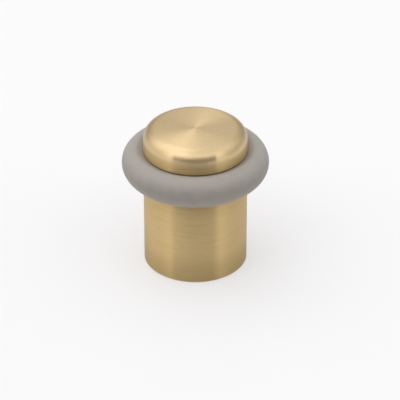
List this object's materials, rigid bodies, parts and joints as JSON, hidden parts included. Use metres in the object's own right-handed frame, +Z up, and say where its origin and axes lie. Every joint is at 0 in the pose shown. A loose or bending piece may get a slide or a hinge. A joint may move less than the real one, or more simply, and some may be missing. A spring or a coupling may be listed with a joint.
{
  "type": "floor door stop",
  "caption": "Short turned brass post with a rounded head and a round rubber buffer ring seated in a groove below it; it stands upright and screws down on a stud in the floor.",
  "frame": {"origin": "centre of the base, in the plane of the rim that stands on the floor", "axes": "+Z up along the post's axis, from the floor towards the head; X and Y are any two level directions, since the part is round"},
  "size_m": [0.0394, 0.0394, 0.0402],
  "materials": {
    "satin_brass": "turned brass, brushed round the axis and lacquered to a satin sheen",
    "buffer_rubber": "moulded warm grey rubber with a matte skin"
  },
  "bodies": {
    "root": {"post": "satin_brass", "buffer_ring": "buffer_rubber"}
  },
  "joints": []
}
